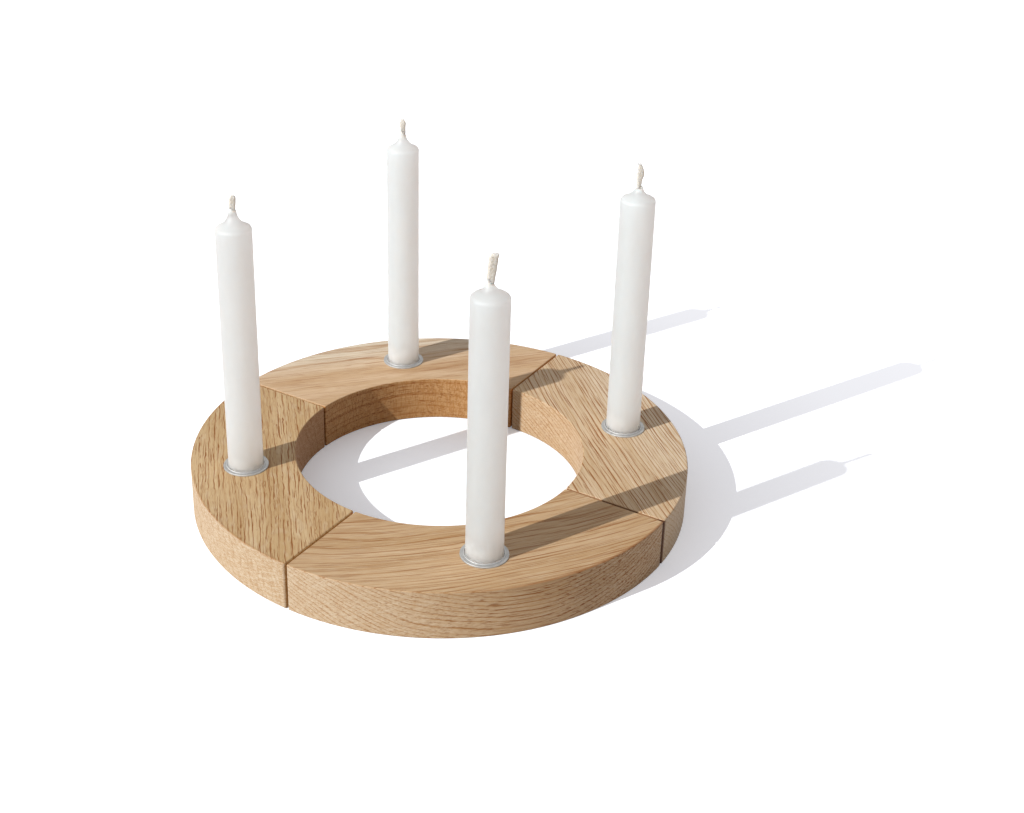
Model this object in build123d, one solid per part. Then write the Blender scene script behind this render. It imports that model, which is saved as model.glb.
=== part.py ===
from build123d import *
import os
from math import cos, radians, sin

# Driving dimensions, in millimetres and degrees

# Ring of equal segments that stand end to end
SEGMENTS = ("front", "right", "back", "left")
RING_OUTER_DIAMETER = 180.0
RING_WIDTH = 37.5
RING_THICKNESS = 17.5
JOINT_GAP = 0.8
OUTER_UPRIGHT_RADIUS = 0.5
INNER_UPRIGHT_RADIUS = 0.5
RIM_EDGE_RADIUS = 0.4

# Candle of the common tree-candle size, with a straight side up to its shoulder and a cone above
CANDLE_DIAMETER = 12.5
CANDLE_SIDE_LENGTH = 99.4
CANDLE_BASE_RADIUS = 0.4
SHOULDER_RADIUS = 1.5
CONE_FOOT_SLOPE = 20.0
CONE_TIP_SLOPE = {"front": 56.0, "right": 56.0, "back": 70.0, "left": 84.0}
WICK_COLLAR = 0.35

# Wick, with how far it stands out of the wax, how far it leans and which way it leans
WICK_DIAMETER = 2.3
WICK_CLEARANCE = 0.05
WICK_EXPOSED = {"front": 10.2, "right": 9.7, "back": 7.2, "left": 5.8}
WICK_LEAN = {"front": 17.0, "right": 5.0, "back": 6.0, "left": 8.0}
WICK_HEADING = {"front": -12.0, "right": -60.0, "back": 150.0, "left": -12.0}

# Drawn metal cup, let into the wood and held by its flange
CUP_WALL = 0.5
CUP_FLANGE_WIDTH = 1.1
CUP_LIP_RISE = 0.35
CUP_LIP_RADIUS = 0.2
CUP_RIM_RADIUS = 0.25
CUP_INWARD_OFFSET = 0.75
CANDLE_CLEARANCE = 0.2
CUP_CLEARANCE = 0.1
WOOD_UNDER_CUP = 8.0

# Disc magnets, a pair in each end face
MAGNET_DIAMETER = 8.0
MAGNET_THICKNESS = 3.0
MAGNET_EDGE_RADIUS = 0.3
MAGNET_INSET = 9.5
MAGNET_RECESS = 0.2
MAGNET_CLEARANCE = 0.1

# Sizes that follow from the ones above
outer_radius = RING_OUTER_DIAMETER / 2
inner_radius = outer_radius - RING_WIDTH
segment_angle = 360 / len(SEGMENTS)
cup_circle_radius = (outer_radius + inner_radius) / 2 - CUP_INWARD_OFFSET

candle_radius = CANDLE_DIAMETER / 2
wick_radius = WICK_DIAMETER / 2
wick_bore_radius = wick_radius + WICK_CLEARANCE
shoulder_turn = 90 - CONE_FOOT_SLOPE
shoulder_width = SHOULDER_RADIUS * (1 - cos(radians(shoulder_turn)))
shoulder_height = SHOULDER_RADIUS * sin(radians(shoulder_turn))

cup_inner_radius = candle_radius + CANDLE_CLEARANCE
cup_outer_radius = cup_inner_radius + CUP_WALL
cup_flange_radius = cup_outer_radius + CUP_FLANGE_WIDTH
cup_bore_radius = cup_outer_radius + CUP_CLEARANCE
cup_bottom = WOOD_UNDER_CUP + CUP_CLEARANCE
candle_base = cup_bottom + CUP_WALL

magnet_pocket_radius = MAGNET_DIAMETER / 2 + MAGNET_CLEARANCE
magnet_pocket_depth = MAGNET_THICKNESS + MAGNET_RECESS


def facing(name):
    """Turn from the front segment's place to the named segment's place."""
    return Rot(0, 0, SEGMENTS.index(name) * segment_angle)


def end_face(side):
    """Plane of one end face of the front segment, with its normal out of the wood and X outward."""
    half_angle = segment_angle / 2
    heading = radians(-90 + side * half_angle)
    outward = Vector(cos(heading), sin(heading))
    normal = Vector(-side * sin(heading), side * cos(heading))
    return Plane(origin=normal * (-JOINT_GAP / 2), x_dir=outward, z_dir=normal)


def magnet_seats():
    """Places of the front segment's magnets, on its end faces, by name."""
    insets = {"outer": outer_radius - MAGNET_INSET, "inner": inner_radius + MAGNET_INSET}
    seats = {}
    for end, side in (("near", -1), ("far", 1)):
        for place, reach in insets.items():
            up = end_face(side).y_dir.Z * RING_THICKNESS / 2
            seats[f"{end}_{place}"] = end_face(side).location * Pos(reach, up, 0)
    return seats


def oak_segment():
    """Quarter of the ring with eased edges, a blind bore for the cup and pockets for the magnets."""
    reach = 2 * outer_radius
    apex = Vector(0, -JOINT_GAP / 2 / sin(radians(segment_angle / 2)))
    sides = [apex + end_face(side).x_dir * reach for side in (-1, 1)]
    wedge = make_face(Polyline(apex, sides[0], Vector(0, -2 * reach), sides[1], apex, close=False))
    outline = (Circle(outer_radius) - Circle(inner_radius)) & wedge
    block = extrude(outline, RING_THICKNESS)
    uprights = block.edges().filter_by(Axis.Z).sort_by_distance((0, 0, 0))
    block = fillet(uprights[:2], INNER_UPRIGHT_RADIUS)
    uprights = block.edges().filter_by(Axis.Z).sort_by_distance((0, 0, 0))
    block = fillet(uprights[-2:], OUTER_UPRIGHT_RADIUS)
    layers = block.edges().group_by(Axis.Z)
    block = fillet(layers[0] + layers[-1], RIM_EDGE_RADIUS)
    bore_depth = RING_THICKNESS - WOOD_UNDER_CUP
    block -= Pos(0, -cup_circle_radius, WOOD_UNDER_CUP) * extrude(Circle(cup_bore_radius), bore_depth)
    for seat in magnet_seats().values():
        block -= seat * extrude(Circle(magnet_pocket_radius), -magnet_pocket_depth)
    return block


def candle_cup():
    """Sleeve with a floor, a flange that lies on the wood and a lip that stands up round its mouth."""
    mouth = RING_THICKNESS + CUP_WALL + CUP_LIP_RISE
    sleeve = Pos(0, 0, cup_bottom) * extrude(Circle(cup_outer_radius), mouth - cup_bottom)
    flange = Pos(0, 0, RING_THICKNESS) * extrude(Circle(cup_flange_radius), CUP_WALL)
    hollow = Pos(0, 0, candle_base) * extrude(Circle(cup_inner_radius), mouth - candle_base)
    cup = sleeve + flange - hollow
    cup = fillet(cup.edges().group_by(Axis.Z)[-1], CUP_LIP_RADIUS)
    rims = cup.edges().sort_by(SortBy.LENGTH)[-2:]
    cup = fillet(rims.sort_by(Axis.Z)[-1], CUP_RIM_RADIUS)
    return Pos(0, -cup_circle_radius, 0) * cup


def cone_radius(name):
    """Radius of the hollow curve from the shoulder's end to the collar round the wick."""
    width = candle_radius - shoulder_width - wick_bore_radius - WICK_COLLAR
    return width / (sin(radians(CONE_TIP_SLOPE[name])) - sin(radians(CONE_FOOT_SLOPE)))


def candle_top(name):
    """Height of the collar where the wick leaves the wax."""
    rise = cone_radius(name) * (cos(radians(CONE_FOOT_SLOPE)) - cos(radians(CONE_TIP_SLOPE[name])))
    return candle_base + CANDLE_SIDE_LENGTH + shoulder_height + rise


def candle_wax(name):
    """Cylinder of wax with a rounded shoulder and a hollow cone that climbs to the wick."""
    with BuildLine(Plane.XZ) as outline:
        base = Line((wick_bore_radius, candle_base), (candle_radius, candle_base))
        side = Line(base @ 1, (candle_radius, candle_base + CANDLE_SIDE_LENGTH))
        shoulder = JernArc(side @ 1, side % 1, SHOULDER_RADIUS, shoulder_turn)
        cone = JernArc(shoulder @ 1, shoulder % 1, cone_radius(name), CONE_FOOT_SLOPE - CONE_TIP_SLOPE[name])
        collar = Line(cone @ 1, (wick_bore_radius, candle_top(name)))
        Line(collar @ 1, base @ 0)
    wax = revolve(make_face(outline.line), Axis.Z)
    foot = wax.edges().group_by(Axis.Z)[0].sort_by(SortBy.LENGTH)[-1]
    return fillet(foot, CANDLE_BASE_RADIUS)


def wick(name):
    """Cotton cord from the candle's base, straight through the wax and then bent as it leans."""
    top = candle_top(name)
    heading = WICK_HEADING[name]
    lean_plane = Plane(origin=(0, 0, 0), x_dir=(cos(radians(heading)), sin(radians(heading)), 0),
                       z_dir=(sin(radians(heading)), -cos(radians(heading)), 0))
    bend_radius = WICK_EXPOSED[name] / radians(WICK_LEAN[name])
    with BuildLine(lean_plane) as route:
        core = Line((0, candle_base), (0, top))
        JernArc(core @ 1, core % 1, bend_radius, -WICK_LEAN[name])
    section = Plane(origin=(0, 0, candle_base)) * Circle(wick_radius)
    return sweep(section, path=route.line)


def magnet():
    """Disc that sits below the face it is let into, on the floor of its pocket."""
    disc = extrude(Circle(MAGNET_DIAMETER / 2), MAGNET_THICKNESS)
    return Pos(0, 0, -magnet_pocket_depth) * fillet(disc.edges(), MAGNET_EDGE_RADIUS)


def candle_place(name):
    """Upright axis of the named segment's candle."""
    axis = facing(name) * Pos(0, -cup_circle_radius, 0)
    return Pos(axis.position)


# The assembly, one file for each piece
nodes = {}
for name in SEGMENTS:
    nodes[f"oak_segment_{name}"] = facing(name) * oak_segment()
    nodes[f"candle_cup_{name}"] = facing(name) * candle_cup()
    nodes[f"candle_{name}"] = candle_place(name) * candle_wax(name)
    nodes[f"wick_{name}"] = candle_place(name) * wick(name)
    for place, seat in magnet_seats().items():
        nodes[f"magnet_{name}_{place}"] = facing(name) * seat * magnet()

os.makedirs("parts", exist_ok=True)
for node, shape in nodes.items():
    shape.label = node
    export_step(shape, f"parts/{node}.step")
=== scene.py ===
# Looks of an advent candle holder: a ring of oak segments, metal cups, wax candles and cotton wicks
import math

import bpy
from mathutils import Matrix, Vector, noise


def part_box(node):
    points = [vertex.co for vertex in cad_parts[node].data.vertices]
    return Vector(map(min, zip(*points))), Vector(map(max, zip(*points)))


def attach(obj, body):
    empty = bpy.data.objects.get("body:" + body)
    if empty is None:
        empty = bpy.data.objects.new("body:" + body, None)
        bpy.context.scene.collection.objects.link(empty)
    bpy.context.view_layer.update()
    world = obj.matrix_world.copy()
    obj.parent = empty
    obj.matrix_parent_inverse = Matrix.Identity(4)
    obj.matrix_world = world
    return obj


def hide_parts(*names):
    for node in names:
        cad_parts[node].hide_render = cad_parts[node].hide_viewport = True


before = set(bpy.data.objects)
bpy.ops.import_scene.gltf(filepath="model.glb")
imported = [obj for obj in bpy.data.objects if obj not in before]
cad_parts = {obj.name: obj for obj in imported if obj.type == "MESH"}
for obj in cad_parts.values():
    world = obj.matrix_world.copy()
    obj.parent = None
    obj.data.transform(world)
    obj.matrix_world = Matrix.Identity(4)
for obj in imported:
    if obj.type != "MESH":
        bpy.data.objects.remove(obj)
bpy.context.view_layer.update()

# Units and names
MM = 0.001
SEGMENTS = ("front", "right", "back", "left")
QUARTER_TURN = math.radians(90)

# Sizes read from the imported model
ring_low, ring_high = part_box("oak_segment_front")
ring_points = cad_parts["oak_segment_front"].data.vertices
RING_TOP = ring_high.z
RING_OUTER_RADIUS = -ring_low.y
RING_INNER_RADIUS = min(math.hypot(*point.co.xy) for point in ring_points)
CUP_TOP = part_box("candle_cup_front")[1].z

# Photograph's frame and the camera that fits it
PHOTO_WIDTH = 1024
FOCAL_PIXELS = 1440
SHIFT_PIXELS = (84, -120)
SENSOR_WIDTH = 36
CAMERA_CLIP = 0.01
CAMERA_DISTANCE = 0.540
CAMERA_AZIMUTH = math.radians(-12.2)
CAMERA_ELEVATION = math.radians(31.86)
CAMERA_PITCH = math.radians(23.96)
CAMERA_YAW = math.radians(0.54)
CAMERA_ROLL = math.radians(0.25)

# Light: a low sun from the left and a pale sky all round
SUN_HEADING = math.radians(20)
SUN_HEIGHT = math.radians(34.3)
SUN_STRENGTH = 4.4
SUN_ANGLE = math.radians(0.53)
SUN_COLOUR = (1.0, 0.99, 0.975)
SKY_STRENGTH = 0.49
SKY_COLOUR = (1.0, 0.93, 0.90, 1)
WHITE = (1, 1, 1, 1)

# Floor, and how far its look is lifted towards white at distances from the middle of the ring
FLOOR_HALF_SIZE = 3.0
FLOOR_COLOUR = (0.86, 0.90, 0.95, 1)
FLOOR_BOUNCE = (0.43, 0.37, 0.33, 1)
INNER_FLOOR_BOUNCE = (0.13, 0.085, 0.06, 1)
FLOOR_LIFT_COLOUR = (0.965, 0.995, 1.07, 1)
FLOOR_LIFT = ((0.02, 0.265), (RING_INNER_RADIUS, 0.125), (RING_OUTER_RADIUS, 0.285), (0.18, 0.45),
              (0.34, 0.60))

# Colours of oak, and the power by which a board's tone reaches its brown lines and dark pores
OAK_PALE = (0.501, 0.361, 0.210)
OAK_HONEY = (0.416, 0.278, 0.140)
OAK_BROWN = (0.346, 0.199, 0.081)
OAK_DARK = (0.221, 0.090, 0.026)
OAK_CREAMY = (0.524, 0.437, 0.317, 1)
OAK_SAPWOOD = (0.616, 0.566, 0.46, 1)
# Painted shade in the outer corners beside the joints
PAINTED_CORNER_SHADE = (0.26, 0.17, 0.12, 1)
FAINT_TONE = 0.4

# Middle of any noise's values
NOISE_MIDDLE = 0.5

# Textures of oak: cells in millimetres along the grain, across it and up, then detail and roughness
OAK_TEXTURES = {
    "ring_wander": ((90, 30, 30), 2, 0.5),
    "line_strength": ((45, 5, 5), 2, 0.6),
    "fibre": ((7.0, 0.24, 0.24), 2, 0.6),
    "thread": ((40.0, 0.8, 0.8), 3, 0.65),
    "band": ((120, 8, 8), 3, 0.55),
    "blotch": ((30, 14, 14), 2, 0.5),
}

# Values of those textures between which each mark fades in, and how strongly it shows
BAND_EDGES = (0.34, 0.66)
THREAD_EDGES = (0.42, 0.68)
THREAD_SHARE = 0.32
FIBRE_EDGES = (0.46, 0.74)
FIBRE_SHARE = 0.48
WEAVE_EDGES = (0.44, 0.58)
LINE_EDGES = (0.34, 0.62)
LINE_LEAST = 0.3

# Run of the grain in millimetres: step along the log for each radian of turn, and cells of its sway
LOG_STEP = 190.0
WAVER_CELLS = (26, 9, 9)
RIPPLE_CELLS = (7, 2.4, 2.4)

# Growth rings: how far they wander, how their pace changes, and the parts of one year
RING_WANDER = 7.0
PACE_CELL = 5.0
PACE_CHANGE = 2.4
EARLY_START = (0.0, 0.07)
EARLY_END = (0.12, 0.36)
LATE_PART = (0.4, 1.0)
LATE_SHARE = 0.12

# Pores and the short flecks between them, in millimetres or as shares
VESSEL_WIDTH = 0.34
FLECK_WIDTH = 0.27
FLECK_LENGTH = 0.4
FLECK_OFFSET = (40, 7, 3)
FLECK_CROWD = 0.06
FLECK_SHARE = 0.5
PORE_EDGES = (0.59, 0.70)

# Rays: thin sheets, stronger where an end cuts across the grain
RAY_CELLS = (6.0, 12.0, 0.55)
RAY_EDGES = (0.55, 0.68)
RAY_AT_ENDS = 0.35

# Near and far end of a board: side along it, and heading of the end face in degrees
END_SIDES = (-1, 1)
END_HEADINGS = (135, 45)

# Faces of a segment: limits of their slopes, runs along it, and widths in from bore, rim and joints,
# where light and shade are painted
WALL_SLOPE = (0.25, 0.8)
CUT_FACING = (0.1, 0.7)
JOINT_FACING = (0.7, 0.95)
CUT_PALE = 0.6
END_RUN = 25
WALL_RUN = 30
BORE_SKIN = (0.6 * MM, 2.5 * MM)
RIM_SHADE_BAND = (1.0 * MM, 0.4 * MM)
RIM_SHADE_DROP = (0.7, 0.1)
RIM_SHADE_NEAR_SHARE = 0.1
CORNER_BAND = (4 * MM, 1 * MM)
CORNER_DEPTH = (1.5 * MM, 0.9 * MM)

# Relief, roughness and gloss of oiled oak
PORE_RELIEF = -1.0
FLECK_RELIEF = -0.4
FIBRE_RELIEF = 0.25
OAK_ROUGHNESS = 0.46
PORE_ROUGHNESS = 0.22
BLOTCH_ROUGHNESS = 0.16
OAK_SPECULAR = 0.28
OAK_BUMP = (0.4, 0.08 * MM)

# Board that each segment was cut from, in millimetres; pairs of looks go from its near to its far end
# pith: where the pith line runs across and up; ring_width: a year's growth
# slope, bow, waver, ripple: how the grain runs
# vessel, crowd, streak: length of its pores, how they crowd in early wood and how dark they are
# lines, rays: how strongly growth lines and rays show; ends: how pale the ends of the walls are
# wall_pores, wall_pale, wall_lines: changes on upright faces; weave: cells and share of their weave
# sap: where sapwood starts to end and has ended, and its share; rim: painted shade on the far outer top
# edge
# then three tints: painted shade or light on the bore, painted shade or light on the two end faces at the
# joints, painted shade on the two outer corners
# tone: tint of the whole board
BOARDS = {
    "front": {
        "pith": (50, -70), "ring_width": 1.25, "slope": 0.06, "bow": 0.0020, "waver": 0.8, "ripple": 0.12,
        "vessel": 32, "crowd": 0.13, "streak": 0.74, "lines": 0.78, "rays": 0.22, "ends": (0.8, 0.5),
        "wall_pores": (0.6, 1.6), "wall_pale": (0.46, 0.10), "wall_lines": (1.1, 1.9),
        "weave": ((1.6, 1.6, 0.5), 0.2), "sap": (-30, -20, 0), "rim": 0.65, "bore_painted_shading": (0.97, 0.85, 0.70),
        "seam_painted_shading": ((1.28, 1.10, 0.78), (0.60, 0.42, 0.30)), "corners": (0.0, 1.0),
        "tone": (0.954, 0.960, 1.01)},
    "right": {
        "pith": (80, -60), "ring_width": 1.2, "slope": 0.02, "bow": 0.0, "waver": 0.8, "ripple": 0.15,
        "vessel": 34, "crowd": 0.15, "streak": 0.95, "lines": 1.0, "rays": 0.22, "ends": (1.0, 0.4),
        "wall_pores": (0.3, 0.5), "wall_pale": (0.48, 0.45), "wall_lines": (0.35, 1.1),
        "weave": ((1.2, 1.2, 0.6), 0.3), "sap": (-16, 14, 0.45), "rim": 0.3, "bore_painted_shading": (1.07, 1.01, 0.96),
        "seam_painted_shading": ((0.60, 0.42, 0.30), (1.3, 1.05, 0.78)), "corners": (1.0, 0.0),
        "tone": (1.10, 1.215, 1.45)},
    "back": {
        "pith": (15, -60), "ring_width": 2.6, "slope": 0.05, "bow": 0.0, "waver": 1.0, "ripple": 0.2,
        "vessel": 26, "crowd": 0.09, "streak": 0.60, "lines": 0.6, "rays": 0.15, "ends": (0.4, 0.4),
        "wall_pores": (0.8, 1.5), "wall_pale": (0.44, 0.36), "wall_lines": (0.9, 1.5),
        "weave": ((0.6, 0.6, 2.2), 0.6), "sap": (-16, 8, 0.95), "rim": 0.2, "bore_painted_shading": (1.10, 0.86, 0.59),
        "seam_painted_shading": ((1.35, 1.1, 0.82), (0.85, 0.75, 0.62)), "corners": (0.0, 0.0),
        "tone": (1.085, 1.105, 1.25)},
    "left": {
        "pith": (-140, -40), "ring_width": 1.6, "slope": -0.07, "bow": 0.0, "waver": 1.3, "ripple": 0.9,
        "vessel": 20, "crowd": 0.14, "streak": 1.0, "lines": 0.65, "rays": 0.20, "ends": (0.6, 1.5),
        "wall_pores": (0.25, 0.25), "wall_pale": (0.60, 0.72), "wall_lines": (0.5, 0.4),
        "weave": ((1.5, 1.5, 0.26), 0.62), "sap": (-30, -20, 0), "rim": 0.3, "bore_painted_shading": (0.92, 0.70, 0.55),
        "seam_painted_shading": ((0.85, 0.75, 0.62), (1.28, 1.10, 0.78)), "corners": (0.0, 0.3),
        "tone": (0.968, 1.0, 0.98)},
}

# Wax: its white, whiter where it has a bloom, each candle's tone, and how deep light goes in it
WAX_COLOUR = (0.90, 0.905, 0.885)
BLOOM_COLOUR = (0.925, 0.93, 0.91)
BLOOM_EDGES = (0.35, 0.7)
WAX_TONE = {"front": (0.99, 0.985, 0.98), "right": (1, 1, 1), "back": (1, 1, 1),
            "left": (0.985, 0.98, 0.975)}
WAX_DEPTH = {"front": 230 * MM, "right": 165 * MM, "back": 170 * MM, "left": 225 * MM}
WAX_SPREAD = (1.0, 0.705, 0.62, 1)
WAX_ROUGHNESS = 0.50
BLOOM_ROUGHNESS = 0.16
WAX_SPECULAR = 0.75
WAX_BUMP = (0.3, 0.12 * MM)
STREAK_RELIEF = 0.5
PIT_RELIEF = 0.15

# Warmer, darker wax near the cup, painted bounce from the wood and painted shade of the cup; thin wax at
# the wick, darker as painted shade; heights in millimetres
FOOT_ZONE = 12
FOOT_PAINTED_BOUNCE = (0.79, 0.75, 0.685, 1)
FOOT_DEPTH = 48 * MM
FOOT_SPREAD = (1.0, 0.92, 0.86, 1)
TIP_ZONE = (-1.5, 1.0)
TIP_PAINTED_SHADE = (0.55, 0.545, 0.515, 1)
TIP_DEPTH_SHARE = 0.05

# Cells of the bloom, pits and streaks of wax in millimetres: across twice and up
BLOOM_CELLS = (5, 5, 14)
PIT_CELLS = (0.8, 0.8, 1.1)
STREAK_CELLS = (1.4, 1.4, 40)

# Cotton: fibres by their place on a strand, and clumps soaked with wax in millimetres
COTTON_DEEP = (0.48, 0.475, 0.44, 1)
COTTON_PALE = (0.555, 0.55, 0.525, 1)
COTTON_WAXED = (0.57, 0.57, 0.56, 1)
COTTON_DEPTH = 4 * MM
FIBRE_CELLS = (0.16, 1.6, 1)
CLUMP_CELLS = (0.9, 0.9, 1.4)
COTTON_FIBRE_EDGES = (0.30, 0.72)
CLUMP_EDGES = (0.4, 0.75)
CLUMP_SHARE = 0.5
COTTON_BUMP = (0.3, 0.08 * MM)

# Metals: bright and dull colour, roughness and cells of scratches; a cup's lip is brighter as painted
# light, and its inside is brighter as painted light that lightens the candle's foot
METALS = {
    "cup_aluminium": {
        "bright": (0.44, 0.44, 0.435, 1), "dull": (0.37, 0.37, 0.365, 1), "roughness": 0.54,
        "scratches": (0.5, 0.5, 0.12), "lip": (0.46, 0.46, 0.455, 1), "inside": (0.86, 0.84, 0.80, 1)},
    "magnet_nickel_plate": {
        "bright": (0.74, 0.72, 0.68, 1), "dull": (0.60, 0.58, 0.55, 1), "roughness": 0.14,
        "scratches": (0.9, 0.2, 0.9)},
}
SMUDGE_CELLS = (2.2, 2.2, 2.2)
SMUDGE_EDGES = (0.35, 0.75)
SMUDGE_ROUGHNESS = 0.22
SCRATCH_RELIEF = 0.4
METAL_BUMP = (0.3, 0.06 * MM)
LIP_DROP = (0.33, 0.2)
INSIDE_DROP = 0.2

# Candle shape, above and below its straight side
CANDLE_SIDES = 96
SIDE_STEP = 0.7 * MM
BASE_ROUND = 0.4 * MM
BASE_STEPS = 4
SHOULDER_RADIUS = 1.5 * MM
CONE_FOOT_SLOPE = math.radians(20)
CONE_TIP_SLOPE = {"front": 56, "right": 56, "back": 70, "left": 84}
ARC_STEPS = 10
COLLAR_RADIUS = 1.4 * MM
CROWN = ((0.8, 0.25 * MM), (0.4, 0.35 * MM))
CROWN_TOP = 0.4 * MM

# Unevenness of the wax: slow and fine waves for each metre, and their heights on the sides and the cone
SLOW_WAVES = 60
SLOW_UNEVEN = 0.05 * MM
FINE_WAVES = 330
FINE_UNEVEN = 0.02 * MM
CONE_UNEVEN = 0.10 * MM

# Wax pressed out against the cup's mouth, and how far above the lip that ends
FOOT_SWELL = 0.17 * MM
SWELL_END = 0.7 * MM

# Wax that climbs the wick: how it narrows and steepens, then its heading, height and reach round it
CLIMB_HUG = 0.12
CLIMB_POWER = 8
WAX_CLIMB = {"front": (168, 2.6 * MM, 1.3), "right": (-12, 1.4 * MM, 0.6),
             "back": (168, 2.8 * MM, 2.4), "left": (168, 1.3 * MM, 2.4)}

# Plaited wicks: strands and their lumps, the skin that joins them, and how the plait lies
STRANDS = 5
STRAND_RADIUS = 0.56 * MM
STRAND_LEAST = 0.4
STRAND_LUMPS = 900
STRAND_UNEVEN = 0.08
STRANDS_APART = 7
LUMP_LAYER = 3
SKIN_SIDES = 40
SKIN_STEP = 0.15 * MM
SKIN_LEAST = 0.2 * MM
SKIN_BLEND = 5
WICK_ROOT = 1.0 * MM
PLAIT_LENGTH = 7.0 * MM
PLAIT_REACH = 0.66 * MM
PLAIT_DEPTH = 0.14 * MM
TIP_ROUND = 0.35 * MM
LAY_WIDTH = 8

# Each wick by shares of its free height: bend sideways in millimetres, width, heading of its flat side
# phase: where its plait starts; cut: where its strands end, in millimetres from the tip
WICKS = {
    "front": {
        "bend": [(-0.1, 0), (0, 0.25), (0.3, 0.5), (0.6, 0.8), (1.0, 1.0)],
        "width": [(0.85, 0), (1.1, 0.3), (1.2, 0.7), (1.2, 1.0)],
        "face": [(-12, 0), (-12, 1)], "phase": 0.6, "cut": (0.0, -0.15, -0.35)},
    "right": {
        "bend": [(0, 0), (0.05, 0.3), (0.3, 0.6), (0.1, 0.85), (-0.5, 1.0)],
        "width": [(0.55, 0), (0.65, 0.25), (1.05, 0.6), (0.5, 1.0)],
        "face": [(20, 0), (-12, 0.5), (-20, 1)], "phase": 2.2, "cut": (0.0, -1.3, -0.7)},
    "back": {
        "bend": [(0.1, 0), (0.1, 0.3), (0.0, 0.6), (0.05, 0.8), (-0.2, 1.0)],
        "width": [(0.7, 0), (0.8, 0.4), (0.95, 0.75), (0.7, 1.0)],
        "face": [(0, 0), (-30, 1)], "phase": 3.5, "cut": (0.0, -0.9, -0.5)},
    "left": {
        "bend": [(0, 0), (0.05, 0.35), (0.15, 0.7), (0.25, 1.0)],
        "width": [(0.8, 0), (0.9, 0.4), (0.95, 0.8), (0.65, 1.0)],
        "face": [(-30, 0), (0, 1)], "phase": 5.0, "cut": (0.0, -0.5, -0.8)},
}


def candle_axis(name):
    """Centre line, base and top of a candle's wax, with its radius."""
    low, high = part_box(f"candle_{name}")
    middle = (low + high) / 2
    return Vector((middle.x, middle.y, 0)), low.z, high.z, (high.x - low.x) / 2


def held(share):
    """Share kept between nothing and all."""
    return min(1.0, max(0.0, share))


def tinted(colour, tone):
    return tuple(part * share for part, share in zip(colour, tone)) + (1,)


class Graph:
    """Writes the nodes of a material or a sky, with sockets passed from call to call."""

    # Places of the colour sockets on a mix node
    FIRST_COLOUR = 6
    SECOND_COLOUR = 7
    MIXED_COLOUR = 2

    def __init__(self, owner):
        self.owner = owner
        owner.use_nodes = True
        self.tree = owner.node_tree
        self.tree.nodes.clear()

    def feed(self, socket, value):
        if isinstance(value, bpy.types.NodeSocket):
            self.tree.links.new(value, socket)
        else:
            socket.default_value = value

    def feed_in_order(self, sockets, values):
        for socket, value in zip(sockets, values):
            self.feed(socket, value)

    def node(self, kind, settings=None, **inputs):
        made = self.tree.nodes.new(kind)
        for key, value in (settings or {}).items():
            setattr(made, key, value)
        for key, value in inputs.items():
            self.feed(made.inputs[key.replace("_", " ")], value)
        return made

    def math(self, operation, *values):
        made = self.node("ShaderNodeMath", {"operation": operation})
        self.feed_in_order(made.inputs, values)
        return made.outputs[0]

    def times(self, product, *others):
        for other in others:
            product = self.math("MULTIPLY", product, other)
        return product

    def times_add(self, value, share, base):
        return self.math("MULTIPLY_ADD", value, share, base)

    def vector(self, operation, *values):
        made = self.node("ShaderNodeVectorMath", {"operation": operation})
        self.feed_in_order(made.inputs, values)
        return made.outputs["Value" if operation in ("LENGTH", "DOT_PRODUCT") else "Vector"]

    def place(self):
        """Place on the object in millimetres."""
        metres = self.node("ShaderNodeTexCoord").outputs["Object"]
        return self.vector("MULTIPLY", metres, (1 / MM, 1 / MM, 1 / MM))

    def from_middle(self, point):
        """Distance of a point from the ring's upright axis."""
        return self.vector("LENGTH", self.vector("MULTIPLY", point, (1, 1, 0)))

    def stretch(self, point, sizes):
        """Point measured in cells of the given sizes."""
        return self.vector("MULTIPLY", point, tuple(1 / size for size in sizes))

    def noise(self, point, detail=1.0, roughness=0.5, distortion=0.0, output="Fac"):
        made = self.node("ShaderNodeTexNoise", Vector=point, Scale=1.0, Detail=detail,
                         Roughness=roughness, Distortion=distortion)
        return made.outputs[output]

    def span(self, value, low, high, to_low=0.0, to_high=1.0, smooth=True):
        """Value taken from one range to another and held at its ends."""
        kind = "SMOOTHSTEP" if smooth else "LINEAR"
        made = self.node("ShaderNodeMapRange", {"interpolation_type": kind, "clamp": True})
        self.feed_in_order(made.inputs, (value, low, high, to_low, to_high))
        return made.outputs["Result"]

    def mix(self, share, first, second, blend="MIX"):
        made = self.node("ShaderNodeMix", {"data_type": "RGBA", "blend_type": blend}, Factor=share)
        self.feed(made.inputs[self.FIRST_COLOUR], first)
        self.feed(made.inputs[self.SECOND_COLOUR], second)
        return made.outputs[self.MIXED_COLOUR]

    def split(self, point):
        return self.node("ShaderNodeSeparateXYZ", Vector=point).outputs

    def join(self, x, y, z):
        return self.node("ShaderNodeCombineXYZ", X=x, Y=y, Z=z).outputs[0]

    def bump(self, height, strength, distance):
        made = self.node("ShaderNodeBump", Height=height, Strength=strength, Distance=distance)
        return made.outputs["Normal"]

    def seen(self):
        """One for rays from the camera, in reflections and through clear things, else nothing."""
        path = self.node("ShaderNodeLightPath").outputs
        mirrored = self.math("MAXIMUM", path["Is Camera Ray"], path["Is Glossy Ray"])
        return self.math("MAXIMUM", mirrored, path["Is Transmission Ray"])

    def principled(self, **inputs):
        return self.node("ShaderNodeBsdfPrincipled", **inputs).outputs[0]

    def surface(self, shader, output="ShaderNodeOutputMaterial"):
        self.node(output, Surface=shader)
        return self.owner


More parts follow.
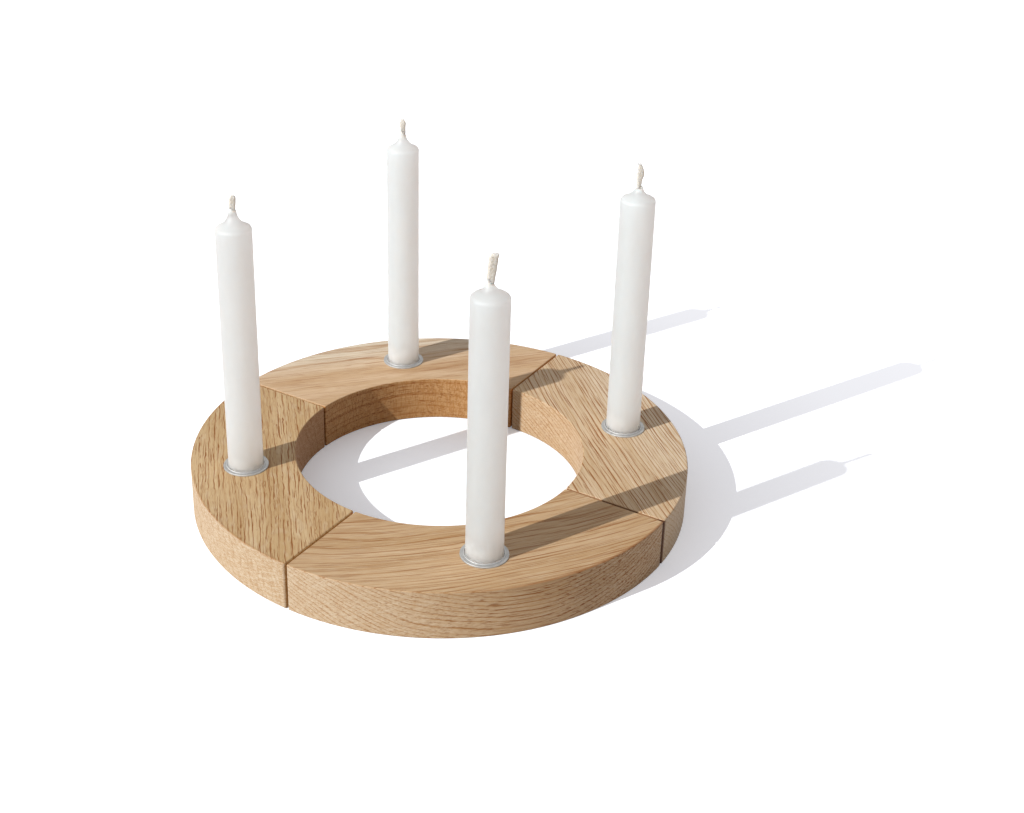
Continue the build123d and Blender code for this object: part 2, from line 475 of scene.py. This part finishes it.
class Oak(Graph):
    """Solid oak: growth rings about a pith line along the grain, with pores, rays and fibres.

    The board's own axes are in millimetres: X along the grain, Y inward across the ring, Z up.
    """

    def __init__(self, name, turn):
        super().__init__(bpy.data.materials.new(f"oak_{name}"))
        self.board = BOARDS[name]
        self.turn = turn
        coordinates = self.node("ShaderNodeTexCoord").outputs
        self.metres = coordinates["Object"]
        self.normal = coordinates["Normal"]
        self.reach = self.from_middle(self.metres)
        self.flat = self.board_place()
        self.along, self.across, self.height = self.split(self.flat)
        self.point = self.grain_place()
        self.early, self.late = self.growth_rings()
        self.pore, self.fleck = self.pores()
        self.fibre = self.texture("fibre")
        self.wall = self.upright_faces()
        self.cut = self.cut_ends()

    def board_place(self):
        cup_circle_radius = candle_axis("front")[0].length
        made = self.node("ShaderNodeMapping", {"vector_type": "POINT"}, Vector=self.metres,
                         Location=(0, cup_circle_radius / MM, -RING_TOP / MM / 2),
                         Rotation=(0, 0, -self.turn), Scale=(1 / MM, 1 / MM, 1 / MM))
        return made.outputs[0]

    def texture(self, name):
        cells, detail, roughness = OAK_TEXTURES[name]
        return self.noise(self.stretch(self.point, cells), detail, roughness)

    def along_board(self, half_run, near, far):
        """Value that goes from the board's near end to its far end."""
        return self.span(self.along, -half_run, half_run, near, far)

    def grain_place(self):
        """Place in grain that runs aslant and bows a little, then wavers and ripples sideways."""
        board = self.board
        sweep = self.times(self.along, self.times_add(self.along, board["bow"], board["slope"]))
        point = self.join(self.math("ADD", self.along, self.turn * LOG_STEP),
                          self.math("SUBTRACT", self.across, sweep), self.height)
        for cells, reach in ((WAVER_CELLS, board["waver"]), (RIPPLE_CELLS, board["ripple"])):
            sway = self.noise(self.stretch(point, cells), output="Color")
            sway = self.vector("SUBTRACT", sway, (NOISE_MIDDLE, NOISE_MIDDLE, NOISE_MIDDLE))
            point = self.vector("MULTIPLY_ADD", sway, (0, reach, reach), point)
        return point

    def growth_rings(self):
        """Early wood, a thin line in each ring, and late wood between the lines."""
        _, side, up = self.split(self.point)
        pith_side, pith_up = self.board["pith"]
        side_off = self.math("SUBTRACT", side, pith_side)
        up_off = self.math("SUBTRACT", up, pith_up)
        to_pith = self.vector("LENGTH", self.join(0, side_off, up_off))
        wander = self.math("SUBTRACT", self.texture("ring_wander"), NOISE_MIDDLE)
        depth = self.times_add(wander, RING_WANDER, to_pith)
        pace = self.noise(self.join(self.math("DIVIDE", depth, PACE_CELL), self.turn, 0))
        rings = self.times_add(pace, PACE_CHANGE, self.math("DIVIDE", depth, self.board["ring_width"]))
        year = self.math("FRACT", rings)
        early = self.times(self.span(year, *EARLY_START), self.span(year, *EARLY_END, 1.0, 0.0))
        return early, self.span(year, *LATE_PART)

    def pores(self):
        """Long thin vessels, crowded in the early wood, and shorter ones scattered between."""
        length = self.board["vessel"]
        vessel = self.noise(self.stretch(self.point, (length, VESSEL_WIDTH, VESSEL_WIDTH)))
        pore = self.span(self.times_add(self.early, self.board["crowd"], vessel), *PORE_EDGES)
        between = self.vector("ADD", self.point, FLECK_OFFSET)
        cells = (length * FLECK_LENGTH, FLECK_WIDTH, FLECK_WIDTH)
        short_vessel = self.noise(self.stretch(between, cells))
        fleck = self.span(self.times_add(self.early, FLECK_CROWD, short_vessel), *PORE_EDGES)
        return pore, fleck

    def upright_faces(self):
        slope = self.math("ABSOLUTE", self.split(self.normal)[2])
        return self.span(slope, *WALL_SLOPE, 1.0, 0.0)

    def cut_ends(self):
        """Parts of the upright faces that cut across the grain."""
        grain = (math.cos(self.turn), math.sin(self.turn), 0)
        facing = self.math("ABSOLUTE", self.vector("DOT_PRODUCT", self.normal, grain))
        paled = self.along_board(END_RUN, *self.board["ends"])
        return self.times(self.wall, self.span(facing, *CUT_FACING), paled)

    def sapwood(self):
        low, high, share = self.board["sap"]
        _, side, _ = self.split(self.point)
        return self.times(self.span(side, low, high, 1.0, 0.0), share)

    def paled_walls(self):
        # Partly the paler look of cut grain, partly painted light that brightens shaded walls
        pale = self.along_board(WALL_RUN, *self.board["wall_pale"])
        return self.times_add(self.wall, pale, self.times(self.cut, CUT_PALE))

    def growth_lines(self):
        """Lines of early wood that come and go along the grain, clearer or fainter on upright faces."""
        steady = self.span(self.texture("line_strength"), *LINE_EDGES, LINE_LEAST, 1.0)
        on_walls = self.along_board(WALL_RUN, *self.board["wall_lines"])
        clear = self.times_add(self.wall, self.math("SUBTRACT", on_walls, 1.0), 1.0)
        return self.times(self.early, steady, self.board["lines"], clear)

    def weave(self):
        cells, share = self.board["weave"]
        woven = self.noise(self.stretch(self.flat, cells))
        return self.times(self.wall, self.span(woven, *WEAVE_EDGES, 0.0, share))

    def rays(self):
        """Thin sheets that run out from the pith."""
        pith_side, pith_up = self.board["pith"]
        lean = math.atan2(-pith_up, -pith_side)
        sheet = self.node("ShaderNodeMapping", Vector=self.point, Rotation=(-lean, 0, 0)).outputs[0]
        ray = self.span(self.noise(self.stretch(sheet, RAY_CELLS)), *RAY_EDGES)
        return self.times(ray, self.times_add(self.cut, RAY_AT_ENDS, self.board["rays"]))

    def open_grain(self):
        on_walls = self.along_board(WALL_RUN, *self.board["wall_pores"])
        return self.times(self.board["streak"], self.span(self.wall, 0.0, 1.0, 1.0, on_walls))

    def rim(self):
        """Painted shade on the rounded outer top edge, darker towards the board's far end."""
        top = RING_TOP / MM / 2
        edge = self.span(self.reach, *(RING_OUTER_RADIUS - width for width in RIM_SHADE_BAND))
        upper = self.span(self.height, *(top - drop for drop in RIM_SHADE_DROP))
        return self.times(edge, upper, self.along_board(END_RUN, RIM_SHADE_NEAR_SHARE, self.board["rim"]))

    def wood_colour(self):
        """Bands of pale and honey wood under paler wood, brown lines, creamy rays and dark pores."""
        tone = self.board["tone"]
        faint_tone = tuple(part ** FAINT_TONE for part in tone)
        brown = tinted(OAK_BROWN, faint_tone)
        dark = tinted(OAK_DARK, faint_tone)
        bands = self.span(self.texture("band"), *BAND_EDGES)
        threads = self.times(self.span(self.texture("thread"), *THREAD_EDGES), THREAD_SHARE)
        fibres = self.times(self.span(self.fibre, *FIBRE_EDGES), FIBRE_SHARE)
        open_grain = self.open_grain()
        layers = (
            (self.sapwood(), OAK_SAPWOOD),
            (self.paled_walls(), OAK_CREAMY),
            (threads, brown),
            (self.times(self.late, LATE_SHARE), brown),
            (self.growth_lines(), brown),
            (fibres, brown),
            (self.weave(), brown),
            (self.rays(), OAK_CREAMY),
            (self.times(self.fleck, self.times(open_grain, FLECK_SHARE)), dark),
            (self.times(self.pore, open_grain), dark),
            # Painted shade on the outer top edge
            (self.rim(), dark),
        )
        colour = self.mix(bands, tinted(OAK_PALE, tone), tinted(OAK_HONEY, tone))
        for share, layer in layers:
            colour = self.mix(share, colour, layer)
        return colour

    def paint_bore_shading(self, colour):
        # Painted shade and light on the bore: a tint per board for how its inner wall is lit
        skin = self.span(self.reach, *(RING_INNER_RADIUS + width for width in BORE_SKIN), 1.0, 0.0)
        return self.mix(self.times(self.wall, skin), colour, (*self.board["bore_painted_shading"], 1), "MULTIPLY")

    def paint_joint_shading(self, colour):
        """Paints light and shade on the near and far end faces that show in the joints, and painted shade
        on the outer corners beside them.
        """
        band = self.span(self.reach, *(RING_OUTER_RADIUS - width for width in CORNER_BAND))
        outer = self.times(self.wall, band)
        ends = zip(END_SIDES, END_HEADINGS, self.board["seam_painted_shading"], self.board["corners"])
        for side, end_heading, seam_shading, deep in ends:
            heading = self.turn + math.radians(end_heading)
            outward = (math.cos(heading), math.sin(heading), 0)
            own_half = self.math("GREATER_THAN", self.times(self.along, side), 0.0)
            facing = self.span(self.vector("DOT_PRODUCT", self.normal, outward), *JOINT_FACING)
            colour = self.mix(self.times(own_half, facing), colour, (*seam_shading, 1), "MULTIPLY")
            to_joint = self.vector("DOT_PRODUCT", self.metres, outward)
            edge = self.span(to_joint, *(-depth for depth in CORNER_DEPTH), 0.0, deep)
            colour = self.mix(self.times(edge, outer), colour, PAINTED_CORNER_SHADE, "MULTIPLY")
        return colour

    def finished(self):
        colour = self.paint_joint_shading(self.paint_bore_shading(self.wood_colour()))
        relief = self.times_add(self.pore, PORE_RELIEF, self.times(self.fibre, FIBRE_RELIEF))
        relief = self.times_add(self.fleck, FLECK_RELIEF, relief)
        rough = self.times_add(self.pore, PORE_ROUGHNESS, OAK_ROUGHNESS)
        rough = self.times_add(self.texture("blotch"), BLOTCH_ROUGHNESS, rough)
        return self.surface(self.principled(Base_Color=colour, Roughness=rough,
                                            Specular_IOR_Level=OAK_SPECULAR,
                                            Normal=self.bump(relief, *OAK_BUMP)))


def wax(name):
    """White wax that lets light deep in, less so at cup and wick, with a faint bloom and marks."""
    g = Graph(bpy.data.materials.new(f"wax_{name}"))
    place = g.place()
    bloom = g.noise(g.stretch(place, BLOOM_CELLS), detail=4, roughness=0.6)
    pit = g.noise(g.stretch(place, PIT_CELLS), detail=3, roughness=0.6)
    streak = g.noise(g.stretch(place, STREAK_CELLS), detail=2)
    height = g.split(place)[2]
    rim = CUP_TOP / MM
    top = candle_axis(name)[2] / MM
    foot = g.span(height, rim, rim + FOOT_ZONE, 1.0, 0.0)
    tip = g.span(height, *(top + rise for rise in TIP_ZONE))
    white, bloomed = (tinted(colour, WAX_TONE[name]) for colour in (WAX_COLOUR, BLOOM_COLOUR))
    colour = g.mix(g.span(bloom, *BLOOM_EDGES), white, bloomed)
    # Painted warm bounce from the wood and painted shade of the cup near its mouth
    colour = g.mix(foot, colour, FOOT_PAINTED_BOUNCE)
    # Painted shade on the thin wax at the wick
    colour = g.mix(tip, colour, TIP_PAINTED_SHADE)
    depth = g.times(g.span(foot, 0.0, 1.0, WAX_DEPTH[name], FOOT_DEPTH),
                    g.span(tip, 0.0, 1.0, 1.0, TIP_DEPTH_SHARE))
    spread = g.mix(foot, WAX_SPREAD, FOOT_SPREAD)
    relief = g.times_add(streak, STREAK_RELIEF, g.times(pit, PIT_RELIEF))
    relief = g.math("ADD", bloom, relief)
    rough = g.times_add(bloom, BLOOM_ROUGHNESS, WAX_ROUGHNESS)
    return g.surface(g.principled(Base_Color=colour, Roughness=rough, Specular_IOR_Level=WAX_SPECULAR,
                                  Subsurface_Weight=1.0, Subsurface_Radius=spread,
                                  Subsurface_Scale=depth, Normal=g.bump(relief, *WAX_BUMP)))


def cotton():
    """Raw cotton yarn with fibres along each strand and a little wax soaked in."""
    g = Graph(bpy.data.materials.new("cotton_yarn"))
    lay = g.node("ShaderNodeUVMap", {"uv_map": "lay"}).outputs[0]
    fibre = g.noise(g.stretch(lay, FIBRE_CELLS), detail=4, roughness=0.65)
    clump = g.noise(g.stretch(g.place(), CLUMP_CELLS), detail=2)
    colour = g.mix(g.span(fibre, *COTTON_FIBRE_EDGES), COTTON_DEEP, COTTON_PALE)
    colour = g.mix(g.times(g.span(clump, *CLUMP_EDGES), CLUMP_SHARE), colour, COTTON_WAXED)
    return g.surface(g.principled(Base_Color=colour, Roughness=0.85, Specular_IOR_Level=0.25,
                                  Subsurface_Weight=0.85, Subsurface_Radius=(1.0, 0.9, 0.75),
                                  Subsurface_Scale=COTTON_DEPTH, Sheen_Weight=0.2, Sheen_Roughness=0.5,
                                  Normal=g.bump(fibre, *COTTON_BUMP)))


def metal(name):
    """Bare metal with fine turned lines, smudges and small scratches."""
    finish = METALS[name]
    g = Graph(bpy.data.materials.new(name))
    place = g.place()
    smudge = g.noise(g.stretch(place, SMUDGE_CELLS), detail=4, roughness=0.6)
    turned = g.stretch(place, finish["scratches"])
    scratch = g.noise(turned, detail=3, roughness=0.6, distortion=0.4)
    colour = g.mix(g.span(smudge, *SMUDGE_EDGES), finish["bright"], finish["dull"])
    if "lip" in finish:
        # Painted light: a brighter lip, and a brighter inside that throws more light on the candle's foot
        height = g.split(place)[2]
        lip = g.span(height, *(CUP_TOP / MM - drop for drop in LIP_DROP))
        inside = g.span(height, RING_TOP / MM - INSIDE_DROP, RING_TOP / MM, 1.0, 0.0)
        colour = g.mix(lip, colour, finish["lip"])
        colour = g.mix(inside, colour, finish["inside"])
    relief = g.times_add(scratch, SCRATCH_RELIEF, smudge)
    rough = g.times_add(smudge, SMUDGE_ROUGHNESS, finish["roughness"])
    return g.surface(g.principled(Base_Color=colour, Metallic=1.0, Roughness=rough,
                                  Normal=g.bump(relief, *METAL_BUMP)))


def floor_material():
    """White floor that keeps shadows; the camera and reflections see it lifted to white."""
    g = Graph(bpy.data.materials.new("floor_white"))
    reach = g.from_middle(g.node("ShaderNodeNewGeometry").outputs["Position"])
    lift = FLOOR_LIFT[0][1]
    for (near, low), (far, high) in zip(FLOOR_LIFT, FLOOR_LIFT[1:]):
        lift = g.math("ADD", lift, g.span(reach, near, far, 0.0, high - low, smooth=False))
    outside = g.span(reach, RING_INNER_RADIUS, RING_OUTER_RADIUS)
    bounce = g.mix(outside, INNER_FLOOR_BOUNCE, FLOOR_BOUNCE)
    seen = g.seen()
    glow = g.node("ShaderNodeEmission", Color=FLOOR_LIFT_COLOUR, Strength=g.times(lift, seen))
    matte = g.node("ShaderNodeBsdfDiffuse", Color=g.mix(seen, bounce, FLOOR_COLOUR))
    both = g.node("ShaderNodeAddShader")
    g.feed_in_order(both.inputs, (matte.outputs[0], glow.outputs[0]))
    return g.surface(both.outputs[0])


def new_piece(name, points, faces, material, smooth=True):
    mesh = bpy.data.meshes.new(name)
    mesh.from_pydata(points, [], faces)
    mesh.validate()
    mesh.materials.append(material)
    mesh.polygons.foreach_set("use_smooth", [smooth] * len(mesh.polygons))
    mesh.update()
    piece = bpy.data.objects.new(name, mesh)
    bpy.context.scene.collection.objects.link(piece)
    return piece


def candle_profile(base, top, radius, tip_slope):
    """Radius and height of the wax from the rim of its base to the wick, and its shoulder's start."""
    turn = math.pi / 2 - CONE_FOOT_SLOPE
    shoulder_width = SHOULDER_RADIUS * (1 - math.cos(turn))
    shoulder_height = SHOULDER_RADIUS * math.sin(turn)
    cone_width = radius - shoulder_width - COLLAR_RADIUS
    cone_radius = cone_width / (math.sin(tip_slope) - math.sin(CONE_FOOT_SLOPE))
    cone_height = cone_radius * (math.cos(CONE_FOOT_SLOPE) - math.cos(tip_slope))
    shoulder_start = top - cone_height - shoulder_height
    side_length = shoulder_start - base - BASE_ROUND
    profile = [(radius - BASE_ROUND, base)]
    for step in range(1, BASE_STEPS + 1):
        angle = math.pi / 2 * step / BASE_STEPS
        profile.append((radius - BASE_ROUND * (1 - math.sin(angle)),
                        base + BASE_ROUND * (1 - math.cos(angle))))
    rows = round(side_length / SIDE_STEP)
    for row in range(1, rows + 1):
        profile.append((radius, base + BASE_ROUND + side_length * row / rows))
    for step in range(1, ARC_STEPS + 1):
        angle = turn * step / ARC_STEPS
        profile.append((radius - SHOULDER_RADIUS * (1 - math.cos(angle)),
                        shoulder_start + SHOULDER_RADIUS * math.sin(angle)))
    for step in range(1, ARC_STEPS + 1):
        slope = CONE_FOOT_SLOPE + (tip_slope - CONE_FOOT_SLOPE) * step / ARC_STEPS
        inward = cone_radius * (math.sin(slope) - math.sin(CONE_FOOT_SLOPE))
        upward = cone_radius * (math.cos(CONE_FOOT_SLOPE) - math.cos(slope))
        profile.append((radius - shoulder_width - inward, top - cone_height + upward))
    profile += [(COLLAR_RADIUS * share, top + rise) for share, rise in CROWN]
    return profile, shoulder_start


def candle_faces(rows):
    """Faces of a turned form between the middle of its base and the middle of its top."""
    last = 1 + rows * CANDLE_SIDES
    faces = []
    for side in range(CANDLE_SIDES):
        after = (side + 1) % CANDLE_SIDES
        faces.append((0, 1 + after, 1 + side))
        for row in range(rows - 1):
            low = 1 + row * CANDLE_SIDES
            high = low + CANDLE_SIDES
            faces.append((low + side, low + after, high + after, high + side))
        faces.append((last - CANDLE_SIDES + side, last - CANDLE_SIDES + after, last))
    return faces


def make_candle(name, material):
    """Wax candle: a turned form with uneven sides, a lopsided cone and wax drawn up the wick."""
    axis, base, top, radius = candle_axis(name)
    profile, shoulder_start = candle_profile(base, top, radius, math.radians(CONE_TIP_SLOPE[name]))
    heading, climb, reach = WAX_CLIMB[name]
    # Share of the climb that the wax has on average all round the wick
    all_round = min(1.0, reach / (2 * math.sqrt(math.pi)))
    points = [axis + Vector((0, 0, base))]
    for out, up in profile:
        cone = held((up - shoulder_start) / (top - shoulder_start))
        one_sided = min(1.0, out / COLLAR_RADIUS)
        pressed = held((CUP_TOP + SWELL_END - up) / SWELL_END) if up > base + BASE_ROUND else 0
        for side in range(CANDLE_SIDES):
            angle = 2 * math.pi * side / CANDLE_SIDES
            ray = Vector((math.cos(angle), math.sin(angle), 0))
            spot = axis + ray * out + Vector((0, 0, up))
            uneven = noise.noise(spot * SLOW_WAVES) * SLOW_UNEVEN
            uneven += noise.noise(spot * FINE_WAVES) * (FINE_UNEVEN + CONE_UNEVEN * cone)
            off = math.remainder(angle - math.radians(heading), 2 * math.pi)
            nearness = math.exp(-(off / reach) ** 2)
            rise = climb * cone ** CLIMB_POWER * (all_round + one_sided * (nearness - all_round))
            shift = (uneven - CLIMB_HUG * rise) * one_sided + FOOT_SWELL * pressed
            points.append(spot + ray * shift + Vector((0, 0, rise)))
    points.append(axis + Vector((0, 0, top + CROWN_TOP + climb * all_round)))
    piece = new_piece(f"wax_{name}", points, candle_faces(len(profile)), material)
    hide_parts(f"candle_{name}")
    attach(piece, f"{name}_candle")


def eased(steps, share):
    """Value at a share of the free height, by smooth steps between the given values."""
    for (low_value, low), (high_value, high) in zip(steps, steps[1:]):
        if share <= high:
            part = (share - low) / (high - low)
            return low_value + (high_value - low_value) * part * part * (3 - 2 * part)
    return steps[-1][0]


def skin(strands, angle):
    """Distance from the wick's middle to the outside of its strands, blended softly where they meet."""
    total = SKIN_LEAST ** SKIN_BLEND
    for side, depth, thick in strands:
        ahead = side * math.cos(angle) + depth * math.sin(angle)
        inside = thick ** 2 - side ** 2 - depth ** 2 + ahead ** 2
        if inside > 0 and ahead + math.sqrt(inside) > 0:
            total += (ahead + math.sqrt(inside)) ** SKIN_BLEND
    return total ** (1 / SKIN_BLEND)


def plait(shape, up, top, rise, width):
    """Places and thickness of the strands at a height, across and through the flat plait."""
    strands = []
    for strand in range(STRANDS):
        cut = shape["cut"][strand % len(shape["cut"])] * MM
        left = (top + rise + cut - up) / TIP_ROUND
        if left > 0:
            turn = shape["phase"] + 2 * math.pi * (strand / STRANDS + (up - top) / PLAIT_LENGTH)
            thick = STRAND_RADIUS * (STRAND_LEAST + (1 - STRAND_LEAST) * width)
            thick *= math.sqrt(1 - (1 - min(1, left)) ** 2)
            lump = Vector((strand * STRANDS_APART, up * STRAND_LUMPS, LUMP_LAYER))
            thick *= 1 + STRAND_UNEVEN * noise.noise(lump)
            side = PLAIT_REACH * width * math.sin(turn)
            depth = PLAIT_DEPTH * math.sin(2 * turn)
            strands.append((side, depth, thick))
    return strands


def wick_skin(name):
    """Points round the wick at each height from base to tip, and their place on the yarn."""
    axis, base, top, _ = candle_axis(name)
    shape = WICKS[name]
    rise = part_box(f"wick_{name}")[1].z - top
    lean = Vector((math.cos(CAMERA_AZIMUTH), math.sin(CAMERA_AZIMUTH), 0)) * MM
    rows = round((rise + WICK_ROOT) / SKIN_STEP)
    heights = [base] + [top - WICK_ROOT + (rise + WICK_ROOT) * row / rows for row in range(rows)]
    points = []
    lay = []
    for up in heights:
        free = held((up - top) / rise)
        width = eased(shape["width"], free)
        face = math.radians(eased(shape["face"], free))
        flat = Vector((math.cos(face), math.sin(face), 0))
        deep = Vector((-math.sin(face), math.cos(face), 0))
        centre = axis + lean * eased(shape["bend"], free) + Vector((0, 0, up))
        strands = plait(shape, up, top, rise, width)
        for spot in range(SKIN_SIDES):
            angle = 2 * math.pi * spot / SKIN_SIDES
            ray = flat * math.cos(angle) + deep * math.sin(angle)
            points.append(centre + ray * skin(strands, angle))
            lay.append((spot / SKIN_SIDES * LAY_WIDTH, up / MM))
    return points, lay


def make_wick(name, material):
    """Plaited cotton wick from the candle's base to its cut tip, its strands joined in one skin."""
    points, lay = wick_skin(name)
    faces = []
    for low in range(0, len(points) - SKIN_SIDES, SKIN_SIDES):
        high = low + SKIN_SIDES
        for spot in range(SKIN_SIDES):
            after = (spot + 1) % SKIN_SIDES
            faces.append((low + spot, low + after, high + after, high + spot))
    faces.append(tuple(reversed(range(SKIN_SIDES))))
    faces.append(tuple(range(len(points) - SKIN_SIDES, len(points))))
    piece = new_piece(f"wick_{name}_yarn", points, faces, material)
    uv = piece.data.uv_layers.new(name="lay")
    for loop in piece.data.loops:
        uv.data[loop.index].uv = lay[loop.vertex_index]
    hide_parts(f"wick_{name}")
    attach(piece, f"{name}_candle")


def dress(node, material):
    """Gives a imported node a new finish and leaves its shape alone."""
    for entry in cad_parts[node].material_slots:
        entry.material = material


def make_floor():
    size = FLOOR_HALF_SIZE
    corners = [(-size, -size, 0), (size, -size, 0), (size, size, 0), (-size, size, 0)]
    new_piece("floor", corners, [(0, 1, 2, 3)], floor_material(), smooth=False)


def make_light():
    lamp = bpy.data.lights.new("sun", "SUN")
    lamp.energy = SUN_STRENGTH
    lamp.angle = SUN_ANGLE
    lamp.color = SUN_COLOUR
    sun = bpy.data.objects.new("sun", lamp)
    flat = math.cos(SUN_HEIGHT)
    beam = Vector((math.cos(SUN_HEADING) * flat, math.sin(SUN_HEADING) * flat, -math.sin(SUN_HEIGHT)))
    sun.rotation_mode = "QUATERNION"
    sun.rotation_quaternion = beam.to_track_quat("-Z", "Y")
    bpy.context.scene.collection.objects.link(sun)


def make_sky():
    """Even pale sky, which the camera and reflections see as plain white."""
    world = bpy.data.worlds.new("sky")
    bpy.context.scene.world = world
    g = Graph(world)
    fill = g.node("ShaderNodeBackground", Color=SKY_COLOUR, Strength=SKY_STRENGTH)
    white = g.node("ShaderNodeBackground", Color=WHITE)
    choice = g.node("ShaderNodeMixShader")
    g.feed_in_order(choice.inputs, (g.seen(), fill.outputs[0], white.outputs[0]))
    g.surface(choice.outputs[0], "ShaderNodeOutputWorld")


def make_camera():
    data = bpy.data.cameras.new("camera")
    data.sensor_width = SENSOR_WIDTH
    data.lens = FOCAL_PIXELS * SENSOR_WIDTH / PHOTO_WIDTH
    data.shift_x, data.shift_y = (pixels / PHOTO_WIDTH for pixels in SHIFT_PIXELS)
    data.clip_start = CAMERA_CLIP
    camera = bpy.data.objects.new("camera", data)
    flat = CAMERA_DISTANCE * math.cos(CAMERA_ELEVATION)
    place = Matrix.Translation((flat * math.sin(CAMERA_AZIMUTH), -flat * math.cos(CAMERA_AZIMUTH),
                                CAMERA_DISTANCE * math.sin(CAMERA_ELEVATION)))
    aim = Matrix.Rotation(CAMERA_AZIMUTH + CAMERA_YAW, 4, "Z")
    tilt = Matrix.Rotation(math.pi / 2 - CAMERA_PITCH, 4, "X")
    camera.matrix_world = place @ aim @ tilt @ Matrix.Rotation(CAMERA_ROLL, 4, "Z")
    bpy.context.scene.collection.objects.link(camera)
    bpy.context.scene.camera = camera


# The candle holder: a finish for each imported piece, and new shapes for the candles and wicks
for index, name in enumerate(SEGMENTS):
    dress(f"oak_segment_{name}", Oak(name, index * QUARTER_TURN).finished())

yarn = cotton()
cup_metal = metal("cup_aluminium")
nickel = metal("magnet_nickel_plate")
for name in SEGMENTS:
    make_candle(name, wax(name))
    make_wick(name, yarn)
    dress(f"candle_cup_{name}", cup_metal)
    for end in ("near", "far"):
        for place in ("outer", "inner"):
            dress(f"magnet_{name}_{end}_{place}", nickel)

# What stands round it
make_floor()
make_light()
make_sky()
make_camera()
bpy.context.scene.view_settings.view_transform = "Standard"
